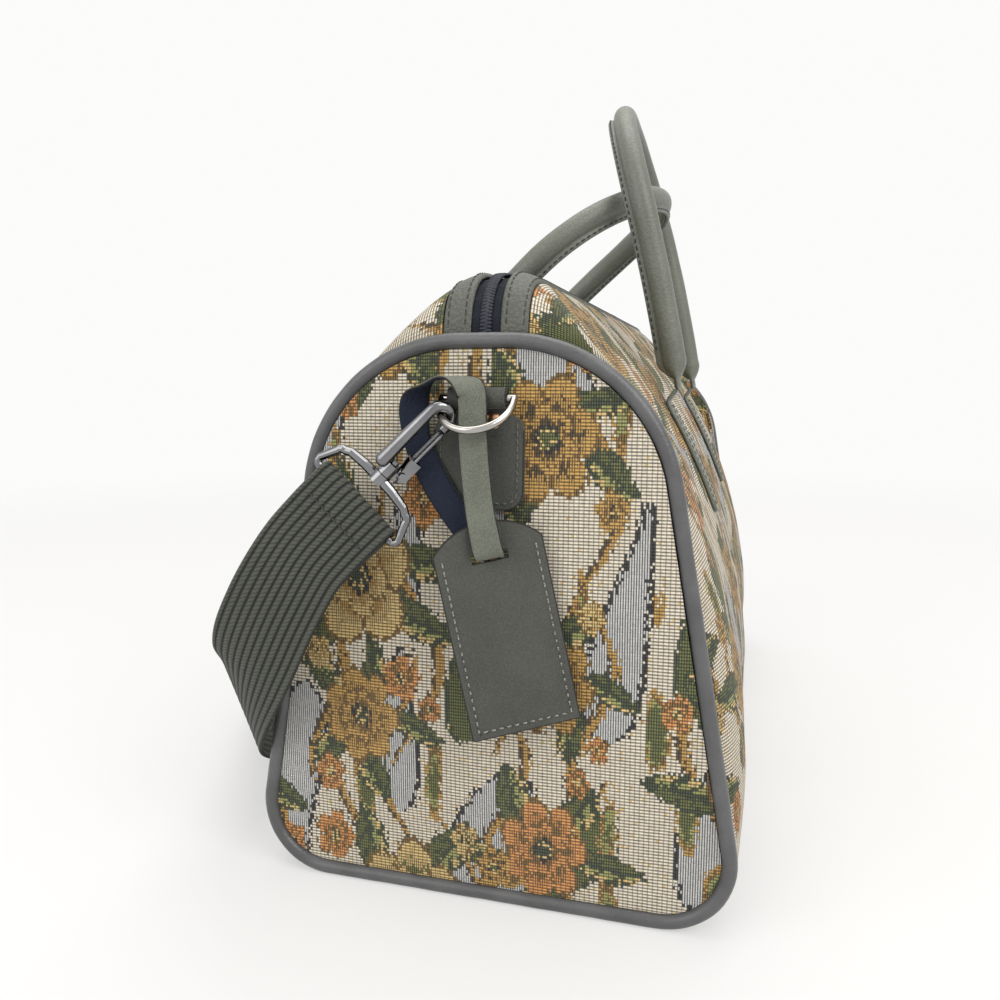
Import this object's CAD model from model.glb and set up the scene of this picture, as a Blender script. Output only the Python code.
"""Floral tapestry travel bag: surfaces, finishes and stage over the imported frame."""

import copy
import math

import bpy
import numpy as np
from mathutils import Matrix, Vector


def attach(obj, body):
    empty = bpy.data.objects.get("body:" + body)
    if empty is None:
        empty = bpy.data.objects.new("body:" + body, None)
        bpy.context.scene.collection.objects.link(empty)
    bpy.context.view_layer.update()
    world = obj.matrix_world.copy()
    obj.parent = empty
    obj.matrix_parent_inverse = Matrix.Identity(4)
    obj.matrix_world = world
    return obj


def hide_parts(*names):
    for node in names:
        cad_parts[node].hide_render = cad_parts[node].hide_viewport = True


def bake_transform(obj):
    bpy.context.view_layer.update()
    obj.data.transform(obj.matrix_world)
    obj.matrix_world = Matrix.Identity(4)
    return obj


bl_info = {
    "name": "Tapestry Travel Bag",
    "version": (1, 0, 0),
    "blender": (4, 5, 0),
    "location": "View3D > Sidebar > Bag",
    "description": "Builds the cloth, leather and metal of a tapestry travel bag on its frame",
    "category": "Object",
}

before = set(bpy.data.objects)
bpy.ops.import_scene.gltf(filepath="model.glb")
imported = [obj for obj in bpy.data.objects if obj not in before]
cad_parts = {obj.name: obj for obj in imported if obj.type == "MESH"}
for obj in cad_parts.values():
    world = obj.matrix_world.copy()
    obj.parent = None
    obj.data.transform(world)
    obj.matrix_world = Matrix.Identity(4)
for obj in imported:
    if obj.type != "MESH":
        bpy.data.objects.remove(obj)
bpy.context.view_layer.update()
MM = 0.001

# Sizes of the frame that the surfaces follow, in millimetres and degrees
HALF_LEN, END_H, END_W = 200.0, 230.0, 200.0
CORNER_R, SHOULDER_R, RIDGE_R = 30.0, 68.0, 30.0
CROWN, END_ZONE, FLAT_END, BODY_END = 26.0, 47.0, 149.8, 196.8
SIDE_TURN, SIDE_PULL, SHOULDER_Y, END_INSET = 28.0, 0.3, 9.0, 1.5
PIPE_R = 3.0
ZIP_GAP, FACING_W, FACING_RISE = 12.0, 11.0, 0.8
RIDGE_Z = END_H + CROWN
HANDLE_Y, HANDLE_Z, HANDLE_R, HANDLE_H, BOW_R = 64.0, 209.0, 6.0, 154.0, 70.0
LOOP = np.array([-206.459, 0.0, 205.5])
LOOP_R, LOOP_BORE, LOOP_LEN = 4.0, 1.8, 22.0
# Width and height of one woven cell
CELL_U, CELL_V = 0.95, 1.30
# Least height of a piece over the floor
FLOOR_GAP = 0.02
# Single stitches as pitch, length and thread radius, and rows with needle holes as share of the pitch and radius
TAB_STITCH, HANDLE_STITCH, STRAP_STITCH = (3.2, 2.4, 0.33), (3.6, 2.5, 0.42), (3.2, 2.4, 0.34)
ROW_SHARE, ROW_R, HOLE_LEN, HOLE_R = 0.68, 0.36, 0.9, 0.34
# The two ends of the bag, each with the sign that mirrors the near end's pieces
ENDS = (("near", 1.0), ("far", -1.0))


class BagSettings(bpy.types.PropertyGroup):
    """Sizes and colours of the bag's visible surfaces."""

    slack: bpy.props.FloatProperty(
        name="Cloth slack", description="Depth of the soft dents in the cloth, in millimetres",
        default=1.6, min=0.0, max=4.0)
    seed: bpy.props.IntProperty(
        name="Motif seed", description="Start of the random placing of flowers and leaves", default=11)
    leather: bpy.props.FloatVectorProperty(
        name="Leather", description="Colour of the handles and zip facings", subtype="COLOR",
        size=3, default=(0.170, 0.180, 0.150))
    nubuck: bpy.props.FloatVectorProperty(
        name="Nubuck", description="Colour of the luggage tag and end tabs", subtype="COLOR",
        size=3, default=(0.066, 0.069, 0.061))
    suede: bpy.props.FloatVectorProperty(
        name="Suede", description="Colour of the tag's strap", subtype="COLOR",
        size=3, default=(0.135, 0.145, 0.117))
    vinyl: bpy.props.FloatVectorProperty(
        name="Piping", description="Colour of the vinyl piping", subtype="COLOR",
        size=3, default=(0.082, 0.083, 0.086))
    webbing: bpy.props.FloatVectorProperty(
        name="Webbing", description="Colour of the shoulder strap", subtype="COLOR",
        size=3, default=(0.070, 0.076, 0.064))
    tape: bpy.props.FloatVectorProperty(
        name="Zip tape", description="Colour of the zip's tape and coil", subtype="COLOR",
        size=3, default=(0.010, 0.012, 0.020))
    floor: bpy.props.FloatVectorProperty(
        name="Floor", description="Colour of the floor and backdrop", subtype="COLOR",
        size=3, default=(0.748, 0.748, 0.748))


def settings():
    """Return the scene's bag settings."""
    return bpy.context.scene.bag_settings


def unit(v):
    """Scale each vector along the last axis to length one."""
    v = np.asarray(v, float)
    return v / np.maximum(np.linalg.norm(v, axis=-1, keepdims=True), 1e-12)


def mix(a, b, t):
    """Straight blend from a at t=0 to b at t=1."""
    return a + (b - a) * t


def smooth_step(t):
    """Ease from 0 to 1 with level ends: 3t^2 - 2t^3 on the clipped value."""
    t = np.clip(t, 0.0, 1.0)
    return t * t * (3.0 - 2.0 * t)


def new_object(name, verts, faces, uvs=None, cells=None):
    """Make a mesh object from vertices in millimetres and an array of quads.

    uvs holds one pair per vertex, and cells one colour per face with its share of weft floats as alpha.
    """
    faces = np.asarray(faces, dtype=np.int32).reshape(-1, 4)
    mesh = bpy.data.meshes.new(name)
    mesh.vertices.add(len(verts))
    mesh.vertices.foreach_set("co", (np.asarray(verts, float) * MM).astype(np.float32).ravel())
    mesh.loops.add(faces.size)
    mesh.loops.foreach_set("vertex_index", faces.ravel())
    mesh.polygons.add(len(faces))
    mesh.polygons.foreach_set("loop_start", np.arange(0, faces.size, 4, dtype=np.int32))
    mesh.polygons.foreach_set("use_smooth", np.full(len(faces), True))
    if uvs is not None:
        layer = mesh.uv_layers.new(name="weave")
        layer.data.foreach_set("uv", np.asarray(uvs, np.float32)[faces.ravel()].ravel())
    if cells is not None:
        colour = mesh.attributes.new("thread", "FLOAT_COLOR", "FACE")
        colour.data.foreach_set("color", np.asarray(cells, np.float32).ravel())
    mesh.update(calc_edges=True)
    mesh.validate()
    obj = bpy.data.objects.new(name, mesh)
    bpy.context.scene.collection.objects.link(obj)
    return obj


def grid_faces(rows, cols, wrap_rows=False, wrap_cols=False, flip=False):
    """Quads of a grid of points stored row by row, closed in either direction on request."""
    r = np.arange(rows if wrap_rows else rows - 1)
    c = np.arange(cols if wrap_cols else cols - 1)
    r, c = (a.ravel() for a in np.meshgrid(r, c, indexing="ij"))
    r2, c2 = (r + 1) % rows, (c + 1) % cols
    quads = np.stack([r * cols + c, r * cols + c2, r2 * cols + c2, r2 * cols + c], axis=1)
    return quads[:, ::-1] if flip else quads


def facing_out(verts, faces):
    """Turn the quads of a closed shape round if their signed volume is negative."""
    p = np.asarray(verts, float)[faces]
    a, b, c, d = (p[:, k] for k in range(4))
    volume = (np.einsum("ij,ij->i", a, np.cross(b, c)) + np.einsum("ij,ij->i", a, np.cross(c, d))).sum()
    return faces if volume >= 0 else faces[:, ::-1]


def run_along(points):
    """Distance run along a path at each of its points, from nought at the first."""
    return np.concatenate([[0], np.cumsum(np.linalg.norm(np.diff(points, axis=0), axis=1))])


def at_runs(at, along, values):
    """Rows of values at given runs along a path, by straight blends between the known runs."""
    return np.stack([np.interp(at, along, column) for column in values.T], axis=1)


def merge(parts):
    """Join several (verts, faces, uvs) sets into one."""
    verts, faces, uvs, start = [], [], [], 0
    for v, f, u in parts:
        verts.append(v)
        faces.append(f + start)
        uvs.append(u)
        start += len(v)
    return np.concatenate(verts), np.concatenate(faces), np.concatenate(uvs)


def loft(rings, closed=False):
    """Closed tube through rings of points (rows, sides, 3), with fan-like caps drawn to the ring's middle.

    Its uv runs in millimetres, u round the ring and v along the middle line.
    """
    rings = np.asarray(rings, float)
    if not closed:
        ends = [rings[:1].mean(axis=1, keepdims=True).repeat(rings.shape[1], axis=1),
                rings[-1:].mean(axis=1, keepdims=True).repeat(rings.shape[1], axis=1)]
        near, far = mix(ends[0], rings[:1], 1e-3), mix(ends[1], rings[-1:], 1e-3)
        rings = np.concatenate([near, rings, far])
    rows, sides = rings.shape[:2]
    faces = grid_faces(rows, sides, wrap_rows=closed, wrap_cols=True)
    along, around = run_along(rings.mean(axis=1)), run_along(rings[rows // 2])
    uv = np.stack(np.broadcast_arrays(around[None, :], along[:, None]), axis=-1).reshape(-1, 2)
    verts = rings.reshape(-1, 3)
    return verts, facing_out(verts, faces), uv


def curve_through(points, steps):
    """Smooth curve through points: the cubic of each span whose end slopes are half the neighbours' chord."""
    p = np.asarray(points, float)
    ext = np.concatenate([p[:1], p, p[-1:]])
    a, b, c, d = ext[:-3], ext[1:-2], ext[2:-1], ext[3:]
    t = (np.arange(steps) / steps)[None, :, None]
    a, b, c, d = (q[:, None, :] for q in (a, b, c, d))
    span = 0.5 * (2 * b + (c - a) * t + (2 * a - 5 * b + 4 * c - d) * t**2 + (3 * b - a - 3 * c + d) * t**3)
    return np.concatenate([span.reshape(-1, p.shape[1]), p[-1:]])


def tangents(path, closed=False):
    """Unit directions along a path, from the difference of each point's neighbours."""
    if closed:
        return unit(np.roll(path, -1, axis=0) - np.roll(path, 1, axis=0))
    return unit(np.gradient(path, axis=0))


def tube_rings(path, radius, sides=12, up=(0.0, 0.0, 1.0), closed=False):
    """Circles round a path: each ring turns about the path's direction, level with the given up direction."""
    path = np.asarray(path, float)
    t = tangents(path, closed)
    side = unit(np.cross(t, np.broadcast_to(np.asarray(up, float), t.shape)))
    top = np.cross(side, t)
    a = np.linspace(0, 2 * math.pi, sides, endpoint=False)
    r = np.broadcast_to(np.asarray(radius, float), (len(path),))[:, None, None]
    circle = np.cos(a)[None, :, None] * side[:, None, :] + np.sin(a)[None, :, None] * top[:, None, :]
    return path[:, None, :] + r * circle


def spread(path, pitch):
    """Places at an even pitch along a path with the directions there, their runs and the path's own runs."""
    path = np.asarray(path, float)
    along = run_along(path)
    n = max(2, int(along[-1] / pitch))
    at = (np.arange(n) + 0.5) * along[-1] / n
    return at_runs(at, along, path), unit(at_runs(at, along, tangents(path))), at, along


def stitch_set(path, normals, pitch, length, radius):
    """Small bowed threads set along a path: each is a five-sided tube whose ends dip into the cloth."""
    spots, way, at, along = spread(path, pitch)
    normals = np.broadcast_to(np.asarray(normals, float), np.asarray(path).shape)
    n = unit(at_runs(at, along, normals))
    side = unit(np.cross(way, n))
    s = np.array([-0.5, -0.4, 0.0, 0.4, 0.5]) * length
    lift = np.array([-0.6, 0.25, 0.5, 0.25, -0.6]) * radius
    fat = np.array([0.25, 0.9, 1.0, 0.9, 0.25]) * radius
    a = np.linspace(0, 2 * math.pi, 5, endpoint=False)
    middle = spots[:, None] + way[:, None] * s[None, :, None] + n[:, None] * lift[None, :, None]
    rings = (middle[:, :, None] + (fat[:, None] * np.cos(a))[None, :, :, None] * side[:, None, None]
             + (fat[:, None] * np.sin(a))[None, :, :, None] * n[:, None, None])
    return repeated(rings)


def repeated(rings):
    """One part of many like tubes: rings of (tubes, rows, sides, 3), each tube with the first one's faces."""
    tubes, rows, sides = rings.shape[:3]
    one = facing_out(rings[0].reshape(-1, 3), grid_faces(rows, sides, wrap_cols=True))
    faces = (one[None] + (np.arange(tubes) * rows * sides)[:, None, None]).reshape(-1, 4)
    verts = rings.reshape(-1, 3)
    return verts, faces, np.zeros((len(verts), 2))


def add_piece(name, parts, material, body, stands_for=()):
    """Make one object of the joined parts, with its finish, its body and the nodes it stands for."""
    verts, faces, uvs = merge(parts)
    obj = new_object(name, verts, faces, uvs)
    obj.data.materials.append(material)
    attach(obj, body)
    if stands_for:
        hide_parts(*stands_for)
    return obj


def stitch_row(name, path, normals, thread, body, pitch):
    """A line of stitches with the dark needle holes between them, as two pieces."""
    normals = np.broadcast_to(np.asarray(normals, float), np.asarray(path).shape)
    spots, way, at, along = spread(path, pitch)
    threads = stitch_set(path, normals, pitch, pitch * ROW_SHARE, ROW_R)
    holes = stitch_set(spots + way * pitch / 2, at_runs(at, along, normals), pitch, HOLE_LEN, HOLE_R)
    add_piece(name + "_stitches", [threads], paint(thread), body)
    add_piece(name + "_holes", [holes], paint("dark_thread"), body)


def mirrored(part, axis):
    """Mirror a part in the plane across one axis and keep its faces outwards."""
    verts, faces, uvs = part
    flip = np.ones(3)
    flip[axis] = -1
    return verts * flip, faces[:, ::-1], uvs


def at_end(part, flip):
    """A part of the near end, or its mirror image where flip is negative."""
    return part if flip > 0 else mirrored(part, 0)


class Value:
    """A node socket that takes part in arithmetic: each operator adds one Math node."""

    def __init__(self, paint, socket):
        self.paint, self.socket = paint, socket

    def _math(self, kind, *others):
        return self.paint.node("ShaderNodeMath", {"operation": kind}, {0: self, **dict(enumerate(others, 1))})

    def __add__(self, other):
        return self._math("ADD", other)

    def __sub__(self, other):
        return self._math("SUBTRACT", other)

    def __mul__(self, other):
        return self._math("MULTIPLY", other)

    def __truediv__(self, other):
        return self._math("DIVIDE", other)

    __radd__ = __add__
    __rmul__ = __mul__

    def __rsub__(self, other):
        return self.paint.node("ShaderNodeMath", {"operation": "SUBTRACT"}, {0: other, 1: self})

    def call(self, kind):
        """Apply a one-input Math operation, such as SINE, FRACT or FLOOR."""
        return self._math(kind)

    def band(self, low, high):
        """Ease from 0 at low to 1 at high."""
        return self.paint.node("ShaderNodeMapRange", {"interpolation_type": "SMOOTHSTEP"},
                               {0: self, 1: low, 2: high, 3: 0.0, 4: 1.0})


class Paint:
    """A material and the nodes that make its finish."""

    def __init__(self, name):
        self.material = bpy.data.materials.new(name)
        self.material.use_nodes = True
        self.tree = self.material.node_tree
        self.shader = self.tree.nodes["Principled BSDF"]

    def node(self, kind, setup=None, sockets=None, out=0):
        """Add a node: set its own settings first, then give its sockets values or links, and return one output."""
        made = self.tree.nodes.new(kind)
        for key, value in (setup or {}).items():
            setattr(made, key, value)
        for key, value in (sockets or {}).items():
            if isinstance(value, Value):
                self.tree.links.new(value.socket, made.inputs[key])
            else:
                made.inputs[key].default_value = value
        return Value(self, made.outputs[out])

    def place(self):
        """The piece's own coordinates, in metres."""
        return self.node("ShaderNodeTexCoord", out="Object")

    def split(self, vector):
        """The three numbers of a vector."""
        made = self.node("ShaderNodeSeparateXYZ", None, {0: vector})
        return [Value(self, s) for s in made.socket.node.outputs]

    def weave_uv(self):
        """The piece's own uv, in millimetres, as two numbers."""
        return self.split(self.node("ShaderNodeUVMap", {"uv_map": "weave"}))[:2]

    def noise(self, scale, detail=3.0, rough=0.55):
        """Soft random numbers between 0 and 1."""
        return self.node("ShaderNodeTexNoise", None,
                         {"Vector": self.place(), "Scale": scale, "Detail": detail, "Roughness": rough})

    def grain(self, scale):
        """Distance from the nearest of many scattered points, as in pebbled leather."""
        return self.node("ShaderNodeTexVoronoi", None, {"Vector": self.place(), "Scale": scale}, "Distance")

    def blend(self, share, a, b):
        """Mix two colours by a share."""
        a, b = ((*c, 1.0) if isinstance(c, tuple) else c for c in (a, b))
        return self.node("ShaderNodeMix", {"data_type": "RGBA"}, {0: share, 6: a, 7: b}, 2)

    def finish(self, colour, rough, height=None, deep=0.0005, **fixed):
        """Link or set the shader's colour, roughness and bump, and set its fixed values."""
        for name, value in (("Base Color", colour), ("Roughness", rough)):
            if isinstance(value, Value):
                self.tree.links.new(value.socket, self.shader.inputs[name])
            else:
                self.shader.inputs[name].default_value = value if name == "Roughness" else (*value, 1.0)
        if height is not None:
            bump = self.node("ShaderNodeBump", None, {"Strength": 1.0, "Distance": deep, "Height": height})
            self.tree.links.new(bump.socket, self.shader.inputs["Normal"])
        for name, value in fixed.items():
            self.shader.inputs[name.replace("_", " ")].default_value = value
        return self.material


def shade(colour, factor):
    """A colour made lighter or darker by a factor."""
    return tuple(min(1.0, c * factor) for c in colour)


def tapestry_paint():
    """Woven cloth: each cell's thread colour, cut by dark warp lines and by the gaps and dips of the weft floats."""
    p = Paint("tapestry_weave")
    u, v = p.weave_uv()
    colour = p.node("ShaderNodeAttribute", {"attribute_name": "thread"}, out="Color")
    kind = p.node("ShaderNodeAttribute", {"attribute_name": "thread"}, out="Alpha")
    warp = ((u / CELL_U).call("FRACT") - 0.5).call("ABSOLUTE").band(0.20, 0.38)
    dip = ((u / (2 * CELL_U)).call("FRACT") - 0.5).call("ABSOLUTE").band(0.34, 0.44)
    weft = ((v / CELL_V).call("FRACT") - 0.5).call("ABSOLUTE").band(0.20, 0.38)
    thin = p.noise(420.0, 2.0).band(0.25, 0.75)
    float_ = kind.band(0.6, 0.95)
    grid = warp * (0.95 - 0.25 * kind) * (1.0 - float_) + dip * 0.62 * float_
    dark = 1.0 - (1.0 - grid) * (1.0 - weft * (0.10 + 0.80 * kind.band(0.0, 0.5)) * (0.75 + 0.25 * thin))
    worn = p.noise(26.0, 3.0)
    lit = p.blend(worn * 0.25, colour, p.blend(0.5, colour, (0.62, 0.58, 0.47)))
    woven = p.blend(dark, lit, p.blend(0.12, (0.016, 0.016, 0.018), colour))
    height = (1.0 - warp * (1.0 - float_)) * (1.0 - 0.7 * weft) + p.noise(1400.0, 2.0) * 0.25
    return p.finish(woven, 0.88 - 0.12 * worn, height, 0.00045, Sheen_Weight=0.12, Sheen_Roughness=0.5,
                    Specular_IOR_Level=0.25)


def leather_paint(name, colour, scale, rough, deep, fade=0.22):
    """Grained leather: pebbles from scattered points, darker in the creases, paler where rubbed."""
    p = Paint(name)
    pebble = p.grain(scale)
    fine = p.noise(2600.0, 2.0)
    wear = p.noise(38.0, 4.0)
    crease = pebble.band(0.25, 0.75)
    tone = p.blend(wear.band(0.35, 0.7) * fade * 2.0, shade(colour, 0.80), shade(colour, 1.28))
    body = p.blend(crease * 0.35, tone, shade(colour, 0.52))
    return p.finish(body, rough + 0.18 * (wear - 0.5) + 0.12 * crease, (1.0 - crease) + fine * 0.35, deep,
                    Specular_IOR_Level=0.42)


def nubuck_paint(name, colour, fade=0.12):
    """Brushed leather: a fine nap of light and dark specks, with faint cloudy patches."""
    p = Paint(name)
    cloud = p.noise(45.0, 5.0, 0.6)
    nap = p.noise(1500.0, 4.0, 0.75)
    tone = p.blend(cloud.band(0.25, 0.75), shade(colour, 1.0 - fade), shade(colour, 1.0 + fade))
    fuzzy = p.blend(nap.band(0.46, 0.72) * 0.5, tone, shade(colour, 1.9))
    speck = p.blend(nap.band(0.48, 0.30) * 0.45, fuzzy, shade(colour, 0.45))
    return p.finish(speck, 0.86 - 0.1 * cloud, nap, 0.0003, Sheen_Weight=0.1, Specular_IOR_Level=0.25)


def webbing_paint():
    """Ribbed webbing: raised cords along the strap, each twisted from slanted strands."""
    p = Paint("ribbed_webbing")
    u, v = p.weave_uv()
    rib = (u / RIB_PITCH).call("FRACT")
    crown = (rib * math.pi).call("SINE")
    strand = (((v + rib * 2.3) / 1.9).call("FRACT") * math.pi).call("SINE")
    fuzz = p.noise(1900.0, 3.0)
    cloud = p.noise(45.0, 3.0)
    colour = tuple(settings().webbing)
    lit = p.blend(cloud, shade(colour, 1.05), shade(colour, 1.45))
    bright = crown.band(0.2, 0.8) * (0.5 + 0.5 * strand.band(0.0, 0.9)) * (0.75 + 0.25 * fuzz)
    dim = p.blend(1.0 - bright, lit, shade(colour, 0.2))
    return p.finish(dim, 0.82 + 0.1 * fuzz, crown + strand * 0.3 + fuzz * 0.2, 0.0008, Sheen_Weight=0.1,
                    Specular_IOR_Level=0.25)


def vinyl_paint():
    """Satin piping: smooth with a faint leather print, dust and rubbed lights."""
    p = Paint("piping_vinyl")
    colour = tuple(settings().vinyl)
    print_ = p.grain(900.0)
    dust = p.noise(60.0, 5.0)
    tone = p.blend(dust.band(0.3, 0.75), shade(colour, 0.85), shade(colour, 1.25))
    return p.finish(tone, 0.27 + 0.2 * dust, print_ * 0.6 + dust * 0.5, 0.00015, Specular_IOR_Level=0.5)


def metal_paint(name, colour, rough=0.13):
    """Plated metal: dulled in patches by rubbing, with fine scratches."""
    p = Paint(name)
    rub = p.noise(55.0, 4.0)
    line = p.noise(900.0, 2.0)
    tone = p.blend(rub.band(0.35, 0.7) * 0.7, colour, shade(colour, 0.6))
    return p.finish(tone, rough + 0.14 * rub.band(0.45, 0.8) + 0.05 * line, line, 0.00003, Metallic=1.0)


def cloth_paint(name, colour, pitch):
    """Plain woven tape: threads over and under in two directions, as the product of two sines of the place."""
    p = Paint(name)
    x, y, z = p.split(p.place())
    a = ((x + y * 0.35) * (1000.0 / pitch)).call("SINE")
    b = ((y + z) * (1000.0 / pitch)).call("SINE")
    over = (a * b).band(-1.0, 1.0)
    lint = p.noise(520.0, 3.0)
    tone = p.blend(over * 0.6 + lint.band(0.55, 0.8) * 0.4, shade(colour, 0.6), shade(colour, 1.9))
    return p.finish(tone, 0.85, over + lint * 0.3, 0.0002, Specular_IOR_Level=0.3)


def thread_paint(name, colour):
    """Waxed thread: twisted strands and a soft sheen."""
    p = Paint(name)
    x, y, z = p.split(p.place())
    twist = ((x + y + z) * 4200.0).call("SINE")
    tone = p.blend(twist.band(-1.0, 1.0), shade(colour, 0.65), shade(colour, 1.3))
    return p.finish(tone, 0.55, twist, 0.0001)


PAINTS = {}


def paint(name):
    """The finish with that name, made once."""
    s = settings()
    make = {
        "tapestry": tapestry_paint,
        "leather": lambda: leather_paint("handle_leather", tuple(s.leather), 900.0, 0.34, 0.00007, 0.12),
        "facing": lambda: leather_paint("facing_leather", shade(s.leather, 0.66), 800.0, 0.5, 0.00016, 0.16),
        "nubuck": lambda: nubuck_paint("tag_nubuck", tuple(s.nubuck)),
        "suede": lambda: nubuck_paint("strap_suede", tuple(s.suede), 0.18),
        "backing": lambda: cloth_paint("strap_backing", (0.014, 0.020, 0.038), 0.16),
        "vinyl": vinyl_paint,
        "webbing": webbing_paint,
        "chrome": lambda: metal_paint("dark_plate", (0.235, 0.235, 0.245)),
        "nickel": lambda: metal_paint("pale_plate", (0.50, 0.48, 0.45)),
        "zip_metal": lambda: metal_paint("zip_plate", (0.52, 0.52, 0.53), 0.22),
        "spring": lambda: metal_paint("plain_steel", (0.42, 0.42, 0.43), 0.3),
        "copper": lambda: metal_paint("copper_rivet", (0.66, 0.36, 0.21), 0.28),
        "tape": lambda: cloth_paint("zip_tape_cloth", tuple(s.tape), 0.14),
        "coil": lambda: leather_paint("zip_coil_plastic", shade(s.tape, 1.5), 900.0, 0.45, 0.00005),
        "lining": lambda: cloth_paint("lining_cloth", (0.012, 0.014, 0.020), 0.2),
        "board": lambda: nubuck_paint("board_card", (0.02, 0.02, 0.022)),
        "pale_thread": lambda: thread_paint("pale_thread", (0.26, 0.27, 0.24)),
        "grey_thread": lambda: thread_paint("grey_thread", (0.11, 0.115, 0.10)),
        "dark_thread": lambda: thread_paint("dark_thread", (0.030, 0.030, 0.030)),
        "edge": lambda: leather_paint("cut_edge", (0.020, 0.018, 0.017), 900.0, 0.6, 0.0001),
    }
    if name not in PAINTS:
        PAINTS[name] = make[name]()
    return PAINTS[name]


def polar(cy, cz, r, a):
    """Point at an angle in radians on a circle in the YZ plane, as two arrays."""
    return cy + r * np.cos(a), cz + r * np.sin(a)


def fill(x):
    """How full the body is at a place along it: one in the middle, falling to nought at a piped end."""
    t = np.maximum(0.0, np.abs(x) - FLAT_END) / END_ZONE
    return np.sqrt(np.maximum(0.0, 1.0 - t**4))


def stations(count):
    """Places along the bag at an even pitch over its crown, with the distance run.

    Towards an end, the place follows the root of an angle's sine and the height its cosine.
    """
    a = np.linspace(0, math.pi / 2, 2000)
    x = np.concatenate([[0.0], FLAT_END + END_ZONE * np.sqrt(np.sin(a))])
    high = np.concatenate([[1.0], np.cos(a)]) * CROWN
    run = run_along(np.stack([x, high], axis=1))
    at = np.linspace(-run[-1], run[-1], count)
    return np.sign(at) * np.interp(np.abs(at), run, x), at


def section_shape(f):
    """Radii, centres and turning angles of the body's section at a fullness."""
    low = mix(CORNER_R - END_INSET, CORNER_R + 1.0, f)
    top = mix(SHOULDER_R - END_INSET, RIDGE_R, f)
    ty, tz = mix(SHOULDER_Y, 0.0, f), mix(END_H - SHOULDER_R, RIDGE_Z - RIDGE_R, f)
    dy, dz = ty - (END_W / 2 - CORNER_R), tz - low
    a = np.arctan2(dz, dy) - np.arccos((low - top) / np.hypot(dy, dz))
    turn = np.radians(SIDE_TURN) * f
    return low, top, ty, tz, a - turn, a + turn


def section(f, s, off=0.0):
    """Y and Z of the body's section, moved out by off.

    s from 0 to 1 rounds the bottom corner, 1 to 2 climbs the side on a cubic, and 2 to 3 rounds the ridge.
    """
    f, s = np.broadcast_arrays(np.asarray(f, float), np.asarray(s, float))
    low, top, ty, tz, a0, a1 = section_shape(f)
    cy = END_W / 2 - CORNER_R
    corner = polar(cy, low, low + off, mix(-math.pi / 2, a0, np.clip(s, 0, 1)))
    crown = polar(ty, tz, top + off, mix(a1, math.pi / 2, np.clip(s - 2, 0, 1)))
    p0, p1 = polar(cy, low, low + off, a0), polar(ty, tz, top + off, a1)
    pull = SIDE_PULL * np.hypot(p1[0] - p0[0], p1[1] - p0[1])
    t = np.clip(s - 1, 0, 1)
    k = 1 - t
    h0 = (p0[0] - pull * np.sin(a0), p0[1] + pull * np.cos(a0))
    h1 = (p1[0] + pull * np.sin(a1), p1[1] - pull * np.cos(a1))
    side = [k**3 * p0[i] + 3 * k * k * t * h0[i] + 3 * k * t * t * h1[i] + t**3 * p1[i] for i in (0, 1)]
    return tuple(np.where(s <= 1, corner[i], np.where(s >= 2, crown[i], side[i])) for i in (0, 1))


def ridge_angle(y, ty, top):
    """Angle on the ridge's arc at a distance y from the middle plane."""
    return np.arccos(np.clip(np.maximum(0.0, y - ty) / top, -1, 1))


def ridge_s(f, y):
    """Place round the section whose top lies at a distance y from the middle plane."""
    _, top, ty, _, _, a1 = section_shape(np.asarray(f, float))
    return 2 + (ridge_angle(y, ty, top) - a1) / (math.pi / 2 - a1)


def ridge(f, y, off=0.0):
    """Y and Z on the top of the section at a distance from the middle plane."""
    _, top, ty, tz, _, _ = section_shape(np.asarray(f, float))
    a = ridge_angle(y, ty, top)
    return y + off * np.cos(a), tz + (top + off) * np.sin(a)


def end_outline(inset, steps=24):
    """Half of an end's outline, bottom to top: the corner's arc, a straight side and the shoulder's arc."""
    low, top = CORNER_R - inset, SHOULDER_R - inset
    cy, cz, ty, tz = END_W / 2 - CORNER_R, CORNER_R, SHOULDER_Y, END_H - SHOULDER_R
    dy, dz = ty - cy, tz - cz
    a = math.atan2(dz, dy) - math.acos((low - top) / math.hypot(dy, dz))
    first = np.stack(polar(cy, cz, low, np.linspace(-math.pi / 2, a, steps)), axis=1)
    last = np.stack(polar(ty, tz, top, np.linspace(a, math.pi / 2, steps)), axis=1)
    k = np.linspace(0, 1, steps)[1:-1, None]
    return np.concatenate([first, mix(first[-1:], last[:1], k), last])


DOME, DOME_HALF_H = 5.0, 118.0


def dome(y, z):
    """How far an end bulges out: a product of two parabolas, deepest at its middle."""
    return DOME * (1 - (y / (END_W / 2)) ** 2) * (1 - ((z - END_H / 2) / DOME_HALF_H) ** 2)


# Colours of the tapestry's threads
THREAD = {
    "cream": (0.74, 0.67, 0.54), "white": (0.60, 0.605, 0.60), "gold": (0.56, 0.33, 0.085),
    "ochre": (0.68, 0.49, 0.20), "bronze": (0.25, 0.145, 0.038), "orange": (0.66, 0.29, 0.085),
    "olive": (0.16, 0.185, 0.055), "leaf": (0.36, 0.37, 0.125), "pine": (0.060, 0.085, 0.042),
    "brown": (0.105, 0.066, 0.030), "ink": (0.022, 0.023, 0.030),
}
# Flowers as outer petals, inner petals and heart
FLOWERS = (("gold", "bronze", "pine"), ("ochre", "gold", "pine"), ("orange", "bronze", "pine"),
           ("ochre", "olive", "ink"), ("gold", "brown", "olive"))
ORANGE_FLOWER = 2
# Spacing of the flowers, how far threads stray from a motif's edge, and the levels where patches of the ground begin
MOTIF_PITCH, STRAY, PALE_FROM, OLIVE_TO = 80.0, 0.8, 0.30, -0.62


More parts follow.
